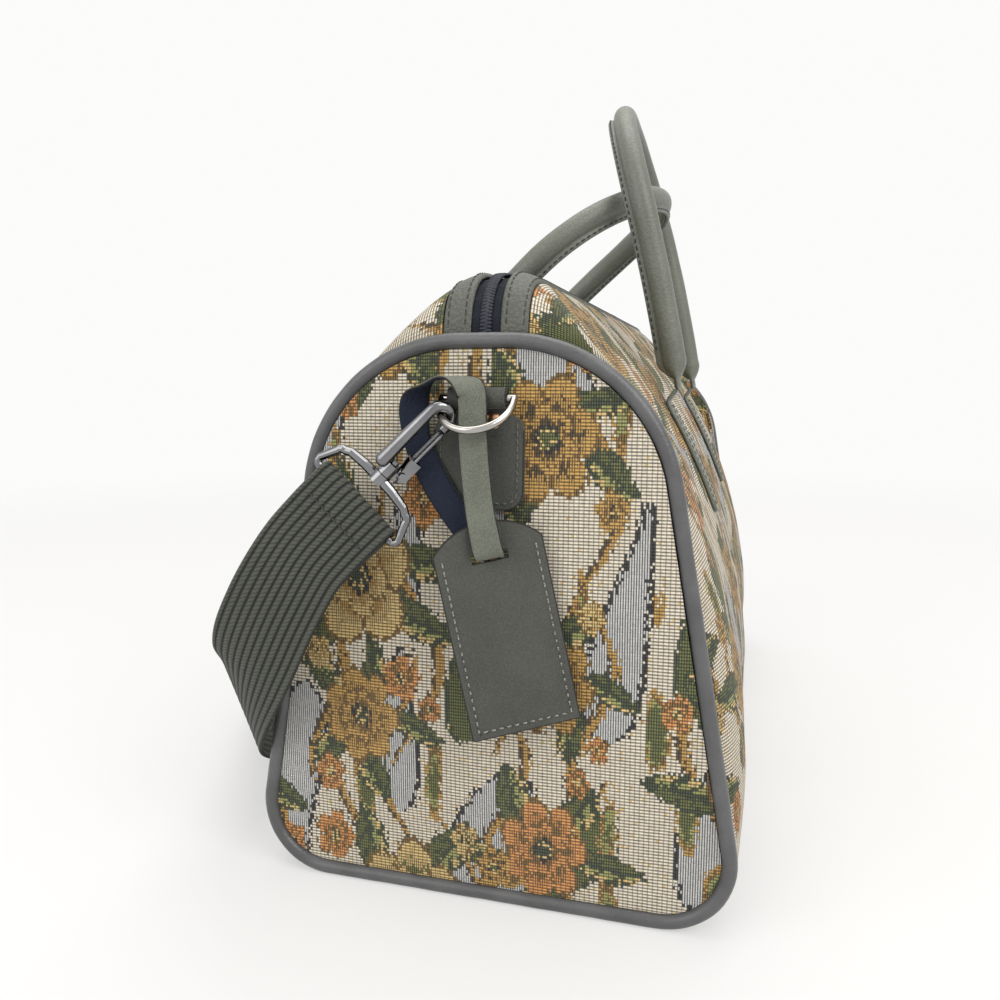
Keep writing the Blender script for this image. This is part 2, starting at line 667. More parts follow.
def wave_field(u, v, size, rng):
    """Slow random field near -1 to 1: a sum of seven sine waves in random directions."""
    total = np.zeros(np.shape(u))
    for _ in range(7):
        turn, phase, stretch = rng.uniform(0, math.tau), rng.uniform(0, math.tau), rng.uniform(0.7, 1.6)
        total = total + np.sin((u * math.cos(turn) + v * math.sin(turn)) * math.tau * stretch / size + phase)
    return total / 4.0


class Loom:
    """The threads of one cloth: cell colours that motifs are woven into, and which cells have weft floats."""

    def __init__(self, u, v, seed):
        self.rng = np.random.default_rng(seed)
        self.u = (np.floor(u / (2 * CELL_U)) + 0.5) * 2 * CELL_U + self.rng.uniform(-STRAY, STRAY, u.shape)
        self.v = v + self.rng.uniform(-STRAY, STRAY, v.shape)
        self.colour = np.zeros(u.shape + (3,))
        self.float_ = np.ones(u.shape)

    def weave(self, where, thread, floats=0.55):
        """Weave one thread into the cells of a mask."""
        self.colour[where] = THREAD[thread]
        self.float_[where] = floats

    def ground(self):
        """Cream ribs with ochre flecks, tall pale or olive patches with dark sides, and gold and green strokes.

        A side is where the field and the same field two cells beside it lie on either side of a level.
        """
        twin = copy.deepcopy(self.rng)
        patch = wave_field(self.u * 1.5, self.v * 0.62, 88.0, self.rng)
        beside = wave_field((self.u + 2 * CELL_U) * 1.5, self.v * 0.62, 88.0, twin)
        stroke = wave_field(self.u * 1.9, self.v * 0.55, 40.0, self.rng)
        fleck = self.rng.random(self.u.shape)
        self.weave(np.ones(self.u.shape, bool), "cream", 1.0)
        self.weave(fleck < 0.03, "ochre", 1.0)
        self.weave(patch > PALE_FROM, "white", 0.0)
        self.weave(((patch > PALE_FROM) != (beside > PALE_FROM)) & (fleck < 0.9), "ink")
        self.weave(patch < OLIVE_TO, "olive", 0.5)
        self.weave(((patch < OLIVE_TO) != (beside < OLIVE_TO)) & (fleck < 0.9), "pine", 0.3)
        self.weave(np.abs(stroke - 0.74) < 0.07, "gold", 0.8)
        self.weave(np.abs(stroke - 0.84) < 0.05, "bronze", 0.3)
        self.weave(stroke > 0.88, "leaf", 0.8)
        self.weave(stroke > 1.0, "olive", 0.4)

    def stem(self, u0, v0, reach, sway, turn):
        """Tall stem: cells near a sine curve, widest in the middle, with a dark edge on one side."""
        k = np.clip((self.v - v0) / reach, -1, 1)
        gap = self.u - u0 - sway * np.sin(k * math.pi + turn)
        wide = np.where(np.abs(k) < 1, 0.7 + 1.9 * (1 - k**2), 0.0)
        self.weave(np.abs(gap) < wide, "brown", 0.3)
        self.weave(np.abs(gap + 0.3 * wide) < 0.62 * wide, "gold", 0.8)

    def leaf(self, u0, v0, length, width, turn):
        """Pointed leaf: two arcs that meet at both ends, light and dark halves, a dark rib and veins."""
        a = (self.u - u0) * math.cos(turn) + (self.v - v0) * math.sin(turn)
        b = -(self.u - u0) * math.sin(turn) + (self.v - v0) * math.cos(turn)
        b = b - 0.18 * width * np.sin(a / length * 2.4)
        edge = width * np.maximum(0.0, 1 - (a / length) ** 2)
        inside = np.abs(b) < edge
        vein = ((a + np.abs(b) * 1.2) % 7.5) < 1.9
        self.weave(np.abs(b) < edge + 0.9 * (edge > 0), "pine", 0.4)
        self.weave(inside & (b > 0), "leaf", 0.8)
        self.weave(inside & (b <= 0), "olive", 0.5)
        self.weave(inside & vein & (np.abs(b) > 0.25 * edge), "pine", 0.4)
        self.weave(inside & (np.abs(b) < 1.1), "pine", 0.4)
        self.weave(inside & (b > 0.66 * edge) & ~vein, "ochre", 0.9)

    def bloom(self, u0, v0, radius, petals, turn, outer, inner, heart):
        """Flower: two rows of petals whose edge swells and dips with the angle, pale at the rim, dark at the heart."""
        du, dv = self.u - u0, (self.v - v0) * 0.80
        angle, far = np.arctan2(dv, du) - turn, np.hypot(du, dv)
        for size, shift in ((1.0, 0.0), (0.56, math.pi / petals)):
            lobe = np.abs(np.cos(petals * (angle + shift) / 2))
            r = far / (radius * size * (0.68 + 0.32 * lobe**0.7))
            rib = np.abs(np.sin(petals * (angle + shift) * 1.5)) < 0.28
            self.weave(r < 1.0, "bronze", 0.3)
            self.weave(r < 0.93, outer, 0.9)
            self.weave((r < 0.70) | ((r < 0.84) & rib), outer, 0.3)
            self.weave((r < 0.56) | ((r < 0.70) & rib), inner, 0.3)
            self.weave((lobe < 0.14) & (r < 0.92) & (r > 0.35), "bronze", 0.3)
        self.weave(far < 0.22 * radius, "ink")
        self.weave(far < 0.18 * radius, heart, 0.5)
        self.weave((np.abs(far - 0.13 * radius) < 0.9) & (self.rng.random(far.shape) < 0.5), "ochre", 0.9)

    def garden(self, spacing):
        """Strew flowers with their leaves, stems and buds over a jittered lattice."""
        before, after, count = 20, 50, len(FLOWERS)
        (lo_u, hi_u), (lo_v, hi_v) = ((a.min() - before, a.max() + after) for a in (self.u, self.v))
        spots = [(u, v) for i, u in enumerate(np.arange(lo_u, hi_u, spacing))
                 for v in np.arange(lo_v + (i % 2) * spacing / 2, hi_v, spacing)]
        plants = []
        for u, v in spots:
            jitter = self.rng.uniform(-0.17, 0.17, 2) * spacing
            size, turn = self.rng.uniform(0.20, 0.31) * spacing, self.rng.uniform(0, math.tau)
            family, petals = int(self.rng.integers(0, count)), int(self.rng.integers(5, 8))
            plants.append((u + jitter[0], v + jitter[1], size, turn, family, petals))
        for u, v, r, turn, family, petals in plants:
            for k in (-1, 1):
                self.stem(u + k * 0.9 * r, v + k * 0.8 * r, r * (1.9 + 0.1 * petals), 0.5 * r, turn + k)
        for u, v, r, turn, family, petals in plants:
            for k in range(5):
                way = turn + k * math.tau / 5 + self.rng.uniform(-0.25, 0.25)
                reach = r * self.rng.uniform(1.15, 1.4)
                self.leaf(u + reach * math.cos(way), v + reach * math.sin(way), r * self.rng.uniform(0.62, 0.9),
                          r * self.rng.uniform(0.24, 0.36), way + self.rng.uniform(-0.5, 0.5))
        for u, v, r, turn, family, petals in plants:
            self.bloom(u, v, r, petals, turn, *FLOWERS[family])
            for k, bud in enumerate((ORANGE_FLOWER, (family + 1) % count, ORANGE_FLOWER)):
                way = turn + 2.1 + 2.0 * k
                self.bloom(u + 1.8 * r * math.cos(way), v + 1.8 * r * math.sin(way), r * (0.40 - 0.06 * k), 5, way,
                           *FLOWERS[bud])

    def cells(self):
        """Cell colours with a little unevenness from thread to thread, and the share of weft floats."""
        uneven = self.rng.uniform(0.86, 1.08, self.u.shape)[..., None]
        return np.concatenate([self.colour * uneven, self.float_[..., None]], axis=-1)


def woven_cells(u, v, seed):
    """Colours of every cell between the corners of a grid of cloth places in millimetres."""
    middle = [0.25 * (a[:-1, :-1] + a[1:, :-1] + a[:-1, 1:] + a[1:, 1:]) for a in (u, v)]
    loom = Loom(middle[0], middle[1], seed)
    loom.ground()
    loom.garden(MOTIF_PITCH)
    return loom.cells()


def even_places(f, top, share):
    """Places round one section that stand at even shares of its length from the base to the zip."""
    s = np.linspace(0, top, 600)
    arc = run_along(np.stack(section(f, s), axis=1))
    return np.interp(share * arc[-1], arc, s)


# Columns of a side's cells, which keep it under 200,000 triangles, and the cloth's hem under the zip facing
SIDE_COLUMNS, HEM_Y = 442, ZIP_GAP / 2 + FACING_W + 0.2
# Columns left of an end's middle and rows of its cells, and the width over which a dent fades
END_HALF_COLUMNS, END_ROWS, END_FADE = 102, 178, 22.0
# Lengths of the cloth's slow and short dents on a side and on an end
SIDE_WAVES, END_WAVES = (150.0, 52.0), (85.0, 40.0)
# Level cloth: half its width round a handle tab, with its lowest and highest point, and the same round an end tab
TAB_CLEAR, TAB_CLEAR_LOW, TAB_CLEAR_TOP = 12.0, 120.0, 238.0
PATCH_CLEAR, PATCH_CLEAR_LOW = 22.0, 155.0
# Half the width of the base's cloth
BASE_HALF = 70.2


def dents(u, v, waves, rng):
    """Slow waves with short ones of half their height on them, clipped to between -1 and 1."""
    return np.clip(wave_field(u, v * 1.3, waves[0], rng) + 0.5 * wave_field(u, v, waves[1], rng), -1, 1)


def side_sheet(way, slack):
    """One long cloth panel: the section swept along the bag, dented by slow waves away from seams and tabs."""
    x = stations(SIDE_COLUMNS)[0]
    f = fill(x)
    y, z = section(1.0, np.linspace(0, ridge_s(1.0, HEM_Y), 3000))
    top_arc = np.hypot(np.diff(y), np.diff(z)).sum()
    share = np.linspace(0, 1, int(top_arc / CELL_V) + 1)
    s = np.stack([even_places(one, top, share) for one, top in zip(f, ridge_s(f, HEM_Y))], axis=1)
    y, z = section(f[None, :], s)
    xx = np.broadcast_to(x[None, :], y.shape)
    v = np.broadcast_to((share * top_arc)[:, None], y.shape)
    p = np.stack([xx, y, z], axis=-1)
    n = unit(np.cross(np.gradient(p, axis=0), np.gradient(p, axis=1)))
    n = n * np.sign((n * np.stack([0 * y, y, z - 100.0], axis=-1)).sum(-1, keepdims=True))
    rng = np.random.default_rng(5 if way > 0 else 3)
    wave = 0.5 + 0.5 * dents(xx, v, SIDE_WAVES, rng)
    clear = smooth_step(np.minimum(v, top_arc - v) / 40.0) * smooth_step((BODY_END - np.abs(xx)) / 45.0)
    tab = smooth_step((np.abs(np.abs(xx) - BOW_R) - TAB_CLEAR) / 20.0)
    near_tab = smooth_step((z - TAB_CLEAR_LOW) / 30.0) * smooth_step((TAB_CLEAR_TOP - z) / 20.0)
    p = p - n * (slack * wave * clear * (1 - near_tab * (1 - tab)))[..., None]
    p[..., 1] *= way
    faces = grid_faces(*y.shape, flip=way < 0)
    uu, vv = np.meshgrid(np.arange(len(x)) * CELL_U, np.arange(len(share)) * CELL_V)
    return p, faces, np.stack([uu, vv], axis=-1)


def end_sheet():
    """One end: a straight grid of threads on the dome, with the outermost corners drawn in to the outline.

    Slow waves dent it a little, away from its seam and from the end tab's patch.
    """
    steps = 400
    side = end_outline(2 * PIPE_R + 0.1, steps)
    flat = np.linspace(-1, 1, steps)[:, None]
    base, top = (np.concatenate([flat * y, np.full((steps, 1), z)], axis=1) for y, z in side[[0, -1]])
    edge = np.concatenate([side, side * np.array([-1, 1]), base, top])
    y, z = np.meshgrid(np.arange(-END_HALF_COLUMNS, END_HALF_COLUMNS) * CELL_U,
                       side[0, 1] + (np.arange(END_ROWS) - 0.5) * CELL_V)
    inside = (np.abs(y) < np.interp(z, side[:, 1], side[:, 0])) & (z > side[0, 1]) & (z < side[-1, 1])
    uv = np.stack([y, z - z[0, 0]], axis=-1)
    faces = grid_faces(*y.shape)
    kept = inside.ravel()[faces].any(axis=1)
    loose = np.unique(faces[kept])
    loose = loose[~inside.ravel()[loose]]
    at = np.stack([y.ravel(), z.ravel()], axis=1)
    near = ((at[loose][:, None] - edge[None]) ** 2).sum(-1).argmin(axis=1)
    at[loose] = edge[near]
    y, z = at.T
    run = np.sqrt(((at[:, None, :] - edge[None, ::20]) ** 2).sum(-1).min(axis=1))
    rng = np.random.default_rng(9)
    wave = dents(y, z, END_WAVES, rng)
    clear = smooth_step((np.abs(y) - PATCH_CLEAR) / END_FADE) + smooth_step((PATCH_CLEAR_LOW - z) / END_FADE)
    dent = (0.3 + (0.5 + 0.5 * wave) * np.clip(clear, 0, 1)) * smooth_step(run / END_FADE)
    p = np.stack([-HALF_LEN - dome(y, z) + dent, y, z], axis=-1)
    used, place = np.unique(faces[kept], return_inverse=True)
    return p[used], place.reshape(-1, 4), uv.reshape(-1, 2)[used], uv, kept


def base_sheet():
    """The base: a level grid of threads, raised by a product of two waves that dies away towards its long sides."""
    x, y = np.arange(-BODY_END, BODY_END + 0.5, CELL_U), np.arange(-BASE_HALF, BASE_HALF + 0.4, CELL_V)
    yy, xx = np.meshgrid(y, x, indexing="ij")
    rise = 0.25 * np.sin(xx / 37.0) * np.cos(yy / 29.0) + 0.3
    z = np.maximum(FLOOR_GAP, rise * (1 - np.minimum(1, np.abs(yy) / BASE_HALF) ** 6))
    return np.stack([xx, yy, z], axis=-1), grid_faces(*xx.shape), np.stack([xx - x[0], yy - y[0]], axis=-1)


class BAG_OT_panels(bpy.types.Operator):
    """Weave the front, back, base and end panels"""

    bl_idname = "bag.panels"
    bl_label = "Cloth Panels"

    def execute(self, context):
        seed, slack = settings().seed, settings().slack
        for name, way, shift in (("front", -1, 0), ("back", 1, 1)):
            p, faces, uv = side_sheet(way, slack)
            cells = woven_cells(uv[..., 0], uv[..., 1], seed + shift)
            obj = new_object(name + "_cloth", p.reshape(-1, 3), faces, uv.reshape(-1, 2), cells)
            self.dress(obj, name + "_panel")
        p, faces, uv, grid, kept = end_sheet()
        for shift, (name, flip) in enumerate(ENDS, 2):
            cells = woven_cells(grid[..., 0], grid[..., 1], seed + shift).reshape(-1, 4)[kept]
            turned = faces[:, ::-1] if flip > 0 else faces
            obj = new_object(name + "_end_cloth", p * np.array([flip, 1, 1]), turned, uv, cells)
            self.dress(obj, name + "_end_panel")
        p, faces, uv = base_sheet()
        cells = woven_cells(uv[..., 0], uv[..., 1], seed + 4)
        obj = new_object("base_cloth", p.reshape(-1, 3), faces, uv.reshape(-1, 2), cells)
        self.dress(obj, "base_panel")
        return {"FINISHED"}

    def dress(self, obj, node):
        """Give a panel its weave and put it in place of its node."""
        obj.data.materials.append(paint("tapestry"))
        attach(obj, "bag")
        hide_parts(node)


class BAG_OT_piping(bpy.types.Operator):
    """Sew the piping round both ends: a tube on the end's outline, swelling a little along two waves"""

    bl_idname = "bag.piping"
    bl_label = "Piping"

    def execute(self, context):
        half = end_outline(PIPE_R, 40)
        loop = np.concatenate([half, (half * np.array([-1, 1]))[::-1]])
        loop = np.concatenate([loop, loop[:1]])
        along = run_along(loop)
        keep = np.concatenate([[True], np.diff(along) > 1e-6])
        at = np.linspace(0, along[-1], 260, endpoint=False)
        yz = at_runs(at, along[keep], loop[keep])
        path = np.stack([np.full(len(yz), -HALF_LEN), yz[:, 0], yz[:, 1]], axis=1)
        wobble = PIPE_R * (1 + 0.014 * np.sin(at / 6.1) + 0.01 * np.sin(at / 2.3 + 1))
        rings = tube_rings(path, wobble, 16, up=(1.0, 0.0, 0.0), closed=True)
        rings[..., 2] = np.maximum(rings[..., 2], FLOOR_GAP)
        part = loft(rings, closed=True)
        for name, flip in ENDS:
            add_piece(name + "_end_piping", [at_end(part, flip)], paint("vinyl"), "bag", [name + "_piping"])
        return {"FINISHED"}


# Place and directions of the near hook's swivel, which the strap's eye hangs from
HOOK_DOWN = np.array([-0.12187, 0.70184, -0.70184])
SPINE_FLAT = np.array([0.0, 0.70711, 0.70711])
SPINE_OUT = np.array([-0.99255, -0.08617, 0.08617])
SWIVEL = np.array([-217.845, 34.899, 176.034])
EYE_DROP, STRAP_TURN_R, SEWN_LEN, LAYER_GAP = 14.5, 3.2, 30.0, 2.3
STRAP_W, STRAP_T, RIB_PITCH = 38.0, 2.0, 3.25
# Middle of the shoulder strap from the sewn end to behind the bag, and the direction of its width
STRAP_ROUTE = [
    ((-227, 66, 143), (0, 0.74, 0.68)), ((-230, 77, 123), (-0.1, 0.7, 0.7)), ((-227, 88, 102), (-0.15, 0.52, 0.84)),
    ((-215, 99, 83), (-0.1, 0.35, 0.93)), ((-191, 114, 64), (0, 0.38, 0.92)), ((-161, 127, 46), (0, 0.42, 0.9)),
    ((-130, 141, 31), (0, 0.47, 0.88)), ((-82, 168, 20.5), (0, 0.5, 0.87)), ((-32, 186, 18.5), (0, 0.5, 0.87)),
    ((0, 189, 18), (0, 0.5, 0.87)),
]
# Middle of the tag's strap, and the direction of its width
TAG_ROUTE = [
    ((-210.2, -5.4, 146.8), (0, 1, -0.2)), ((-213.5, -6.5, 147), (-0.3, 1, -0.2)),
    ((-217, -7.5, 147.8), (-0.3, 1, -0.2)), ((-218.8, -6.8, 152), (-0.2, 1, -0.2)),
    ((-217.8, -4, 165), (0, 1, -0.2)), ((-215.6, -1.5, 181), (0, 1, -0.1)), ((-213.4, 0, 194), (0, 1, 0)),
    ((-212.6, 0.3, 203), (0, 1, 0)), ((-212.4, 1.3, 208.5), (-0.2, 1, 0)), ((-211.3, 6.5, 212.2), (-0.8, 0.6, 0)),
    ((-210.3, 12.5, 213), (-1, 0, 0)), ((-209.3, 19, 211), (-0.95, 0.15, -0.2)),
    ((-208, 24.5, 204.5), (-0.6, 0.7, 0.2)), ((-207.2, 25, 195), (-0.1, 0.95, 0.25)),
    ((-207.3, 22.5, 185), (0, 0.92, 0.35)), ((-208.4, 15.5, 172), (0, 0.9, 0.4)),
    ((-209, 7, 160), (0, 0.9, 0.3)), ((-209.6, -1, 151), (0, 0.95, 0)),
]
TAG_STRAP_W = 11.0
# The floor's reach, where its bend up to the backdrop begins, and the bend's radius, in millimetres
FLOOR_REACH, BEND_FROM, BEND_R = 3500, 1600, 900
# The backdrop as the camera and reflections see it, and the world's light
PALE, SKY, SKY_STRENGTH = (0.97, 0.968, 0.962, 1.0), (1.0, 0.99, 0.975, 1.0), 0.55
SEEN_BY = ("Is Camera Ray", "Is Glossy Ray", "Is Transmission Ray")
# Lamps as name, place, size and power, with their colour and the place they point at
LAMPS = (("key", (-1.3, -1.5, 1.7), 1.5, 34.0), ("fill", (-1.7, 1.2, 1.1), 1.6, 16.0),
         ("top", (0.2, 0.0, 2.2), 1.8, 26.0))
LAMP_COLOUR, LAMP_AIM = (1.0, 0.98, 0.95), (0.0, 0.0, 0.12)
# The camera's lens and place, and its directions to the right, up and back
LENS, CAMERA_AT = 30.6, (-0.5118, -0.0942, 0.2111)
CAMERA_TURN = ((0.2701, -0.9628, 0.0), (0.1315, 0.0369, 0.9906), (-0.9538, -0.2676, 0.1366))


class BAG_OT_stage(bpy.types.Operator):
    """Lay the pale floor and backdrop, and set the soft light and the camera"""

    bl_idname = "bag.stage"
    bl_label = "Stage"

    def execute(self, context):
        scene = context.scene
        scene.view_settings.view_transform = "Standard"
        self.lay_floor()
        scene.world = self.make_world()
        for name, place, size, power in LAMPS:
            lamp = bpy.data.lights.new(name, "AREA")
            lamp.size, lamp.energy, lamp.color = size, power, LAMP_COLOUR
            obj = bpy.data.objects.new(name, lamp)
            scene.collection.objects.link(obj)
            obj.location = place
            obj.rotation_euler = (Vector(LAMP_AIM) - Vector(place)).to_track_quat("-Z", "Y").to_euler()
        camera = bpy.data.cameras.new("photo_camera")
        camera.sensor_fit, camera.sensor_width, camera.lens = "HORIZONTAL", 36.0, LENS
        eye = bpy.data.objects.new("photo_camera", camera)
        scene.collection.objects.link(eye)
        eye.matrix_world = Matrix.Translation(CAMERA_AT) @ Matrix(CAMERA_TURN).transposed().to_4x4()
        scene.camera = eye
        return {"FINISHED"}

    def lay_floor(self):
        """Floor that bends up into a backdrop: paper that keeps shadows near the bag and fades to pale far from it."""
        turn = np.linspace(0, math.pi / 2, 24)
        bend = np.stack([BEND_FROM + BEND_R * np.sin(turn), BEND_R - BEND_R * np.cos(turn)], axis=1)
        profile = np.concatenate([[[-FLOOR_REACH, 0.0]], bend, [[BEND_FROM + BEND_R, FLOOR_REACH]]])
        y = np.linspace(-FLOOR_REACH, FLOOR_REACH, 3)
        grid = np.stack(np.broadcast_arrays(profile[:, None, 0], y[None, :], profile[:, None, 1]), axis=-1)
        floor = new_object("pale_floor", grid.reshape(-1, 3), grid_faces(*grid.shape[:2], flip=True))
        p = Paint("pale_floor_paper")
        colour = tuple(settings().floor)
        surface = p.finish(p.blend(p.noise(3.0, 2.0), shade(colour, 0.985), colour), 0.9)
        path = p.node("ShaderNodeLightPath").socket.node.outputs
        camera, glossy, through = (Value(p, path[ray]) for ray in SEEN_BY)
        far = p.node("ShaderNodeVectorMath", {"operation": "LENGTH"}, {0: p.place()}, "Value").band(0.35, 1.7)
        white = p.node("ShaderNodeEmission", None, {"Color": PALE, "Strength": 1.0})
        share = (camera + glossy + through) * (0.5 + 0.5 * far)
        keep = p.node("ShaderNodeMixShader", None, {0: share, 1: Value(p, p.shader.outputs[0]), 2: white})
        p.tree.links.new(keep.socket, p.tree.nodes["Material Output"].inputs[0])
        floor.data.materials.append(surface)

    def make_world(self):
        """World that lights softly, and that the camera, reflections and clear pieces see as the pale backdrop."""
        world = bpy.data.worlds.new("studio")
        world.use_nodes = True
        tree = world.node_tree
        light = tree.nodes["Background"]
        pale, path, some, seen, join = (tree.nodes.new("ShaderNode" + kind) for kind in (
            "Background", "LightPath", "Math", "Math", "MixShader"))
        light.inputs[0].default_value, light.inputs[1].default_value = SKY, SKY_STRENGTH
        pale.inputs[0].default_value = PALE
        camera, glossy, through = (path.outputs[ray] for ray in SEEN_BY)
        for out, into in ((camera, some.inputs[0]), (glossy, some.inputs[1]), (some.outputs[0], seen.inputs[0]),
                          (through, seen.inputs[1]), (seen.outputs[0], join.inputs[0]),
                          (light.outputs[0], join.inputs[1]), (pale.outputs[0], join.inputs[2]),
                          (join.outputs[0], tree.nodes["World Output"].inputs[0])):
            tree.links.new(out, into)
        return world


def ribbon_rings(path, wides, width, thick, count, lift=0.0, ribs=0.0):
    """Flat band: across each ring a lens-ended profile, with ribs of a sine's depth, moved off the path by lift."""
    along = tangents(path)
    wide = unit(wides - along * (wides * along).sum(-1, keepdims=True))
    face = np.cross(along, wide)
    t = np.linspace(-0.5, 0.5, count)
    width = np.broadcast_to(np.asarray(width, float), (len(path),))[:, None]
    edge = np.clip((0.5 - np.abs(t)) * width / (thick / 2), 0, 1)
    crown = np.sin(math.pi * (((t + 0.5) * width / RIB_PITCH) % 1.0))
    high = thick / 2 * np.sqrt(1 - (1 - edge) ** 2) - ribs * (1 - crown) * edge
    across = np.concatenate([t, t[-2:0:-1]])[None] * width
    up = np.concatenate([high, -high[:, -2:0:-1]], axis=1) + lift
    return path[:, None] + across[..., None] * wide[:, None] + up[..., None] * face[:, None]


def eye_point(y, z):
    """Place in the frame of the strap's eye: y away from the bag, z back along the hook."""
    return SWIVEL + SPINE_OUT * y - HOOK_DOWN * z


def strap_line():
    """Middle line of half the shoulder strap with its width directions, and the row where its sewn end stops."""
    turn = np.radians(np.arange(180, -1, -20))
    under = STRAP_TURN_R - LAYER_GAP
    start = [eye_point(under, -EYE_DROP - SEWN_LEN), eye_point(under - 0.6, -EYE_DROP - SEWN_LEN / 2)]
    start += [eye_point(STRAP_TURN_R * math.cos(a), -EYE_DROP + STRAP_TURN_R * math.sin(a)) for a in turn]
    start += [eye_point(STRAP_TURN_R, -EYE_DROP - SEWN_LEN / 2)]
    points = np.concatenate([start, [r[0] for r in STRAP_ROUTE]])
    wides = np.concatenate([[SPINE_FLAT] * len(start), [r[1] for r in STRAP_ROUTE]])
    steps = 14
    return curve_through(points, steps), curve_through(wides, steps), (len(start) - 1) * steps


class BAG_OT_strap(bpy.types.Operator):
    """Weave the shoulder strap and sew its ends round the eyes"""

    bl_idname = "bag.strap"
    bl_label = "Shoulder Strap"

    def execute(self, context):
        line, wides, split = strap_line()
        rings = ribbon_rings(line, wides, STRAP_W, STRAP_T, 73, ribs=0.24)
        sewn, free = loft(rings[:split + 1]), loft(rings[split:])
        seam_line = [eye_point(STRAP_TURN_R, -EYE_DROP - 9.0) + SPINE_FLAT * k for k in np.linspace(-15, 15, 9)]
        seam = stitch_set(np.array(seam_line) + SPINE_OUT, SPINE_OUT, *STRAP_STITCH)
        for name, flip in ENDS:
            add_piece(name + "_strap_end", [at_end(sewn, flip)], paint("webbing"), name + "_ring")
            add_piece(name + "_strap_seam", [at_end(seam, flip)], paint("dark_thread"), name + "_ring")
            strap = new_object(name + "_strap", *at_end(free, flip))
            strap.data.materials.append(paint("webbing"))
            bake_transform(strap)
            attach(strap, "bag")
            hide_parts("shoulder_strap")
        return {"FINISHED"}


class BAG_OT_tag_strap(bpy.types.Operator):
    """Sew the tag's strap: suede outside, woven backing inside and dark cut edges"""

    bl_idname = "bag.tag_strap"
    bl_label = "Tag Strap"

    def execute(self, context):
        line = curve_through([r[0] for r in TAG_ROUTE], 12)
        wides = curve_through([r[1] for r in TAG_ROUTE], 12)
        suede = ribbon_rings(line, wides, TAG_STRAP_W, 0.78, 21, lift=0.30)
        backing = ribbon_rings(line, wides, TAG_STRAP_W - 0.5, 0.62, 19, lift=-0.38)
        along = tangents(line)
        wide = unit(wides - along * (wides * along).sum(-1, keepdims=True))
        face = np.cross(along, wide)
        reach = TAG_STRAP_W / 2 - 0.25
        edges = [loft(tube_rings(line + wide * k * reach + face * 0.05, 0.42, 8, up=(0.31, 0.2, 0.93)))
                 for k in (-1, 1)]
        add_piece("tag_strap_suede", [loft(suede)], paint("suede"), "bag", ["tag_strap"])
        add_piece("tag_strap_backing", [loft(backing)], paint("backing"), "bag")
        add_piece("tag_strap_edges", edges, paint("edge"), "bag")
        return {"FINISHED"}


def facing_strip(way):
    """One zip facing: a closed band along the ridge, flat on top with rolled edges, wavering a little."""
    x = stations(260)[0]
    f = fill(x)
    t = np.linspace(0, 1, 15)
    waver = 0.22 * np.sin(x / 23.0 + way) + 0.12 * np.sin(x / 7.0)
    y = ZIP_GAP / 2 + waver[:, None] * (1 - t[None, :]) + FACING_W * t[None, :]
    edge, edge_r = np.minimum(t, 1 - t) * FACING_W, 1.2
    roll = np.where(edge < edge_r, np.sqrt(np.clip(1 - (1 - edge / edge_r) ** 2, 0, 1)), 1.0)
    top = ridge(f[:, None], y, mix(-0.6, FACING_RISE, roll)[None, :])
    low = ridge(f[:, None], y[:, ::-1], -1.4)
    yy, zz = np.concatenate([top[0], low[0]], axis=1), np.concatenate([top[1], low[1]], axis=1)
    return loft(np.stack([np.broadcast_to(x[:, None], yy.shape), yy * way, zz], axis=-1))


def ridge_line(y, off, way):
    """A line along the bag on its ridge at a distance from the middle, with the outward directions there."""
    x = stations(400)[0][3:-3]
    p = ridge(fill(x), y, off)
    q = ridge(fill(x), y, off + 1.0)
    points = np.stack([x, p[0] * way, p[1]], axis=1)
    return points, unit(np.stack([0 * x, (q[0] - p[0]) * way, q[1] - p[1]], axis=1))


def coil_teeth():
    """Zip teeth: short rounded bars across the coil, set alternately from either side at a steady pitch."""
    pitch, last, sink = 1.35, 134.8, 1.0
    x, run = stations(8000)
    run_at = np.arange(run[0] + 1.0, last, pitch)
    y = np.array([-0.9, -0.5, 0.6, 1.9, 2.4])
    fat = np.array([0.25, 0.85, 1.0, 0.95, 0.3])
    a = np.linspace(0, math.tau, 6, endpoint=False)
    ring_x, ring_z = 0.56 * np.outer(fat, np.cos(a)), 0.9 * np.outer(fat, np.sin(a))
    parts = []
    for way, shift in ((1, 0.0), (-1, pitch / 2)):
        at = np.interp(run_at + shift, run, x)
        z = ridge(fill(at), 0.0)[1] - sink
        droop = (y**2 / (2 * RIDGE_R))[None, :, None]
        rings = np.stack(np.broadcast_arrays(at[:, None, None] + ring_x[None], (y * way)[None, :, None],
                                             z[:, None, None] + ring_z[None] - droop), axis=-1)
        parts.append(repeated(rings))
    return parts


class BAG_OT_zip(bpy.types.Operator):
    """Sew the zip: facings with two rows of stitches each, and the teeth"""

    bl_idname = "bag.zip"
    bl_label = "Zip"

    def execute(self, context):
        for name, way in (("front", -1), ("back", 1)):
            add_piece(name + "_facing", [facing_strip(way)], paint("facing"), "bag", [name + "_zip_facing"])
            for row, inset in (("inner", 2.1), ("outer", FACING_W - 2.0)):
                line, up = ridge_line(ZIP_GAP / 2 + inset, FACING_RISE, way)
                stitch_row(f"{name}_{row}_facing", line, up, "dark_thread", "bag", 3.4)
        add_piece("zip_teeth", coil_teeth(), paint("coil"), "bag", ["zip_coil"])
        return {"FINISHED"}


# Heights where a handle's neck ends and its roll is full, its barrel on the pivot, and its sewn flange
NECK_H, FOOT_H, BARREL_R, BARREL_HALF, FLANGE_W, FLANGE_HALF = 4.0, 14.0, 1.6, 6.0, 3.0, 1.1
# Handles as name, lean and bend in degrees, and side
HANDLES = (("front", 10.0, 8.0, -1.0), ("back", 31.0, 31.0, 1.0))


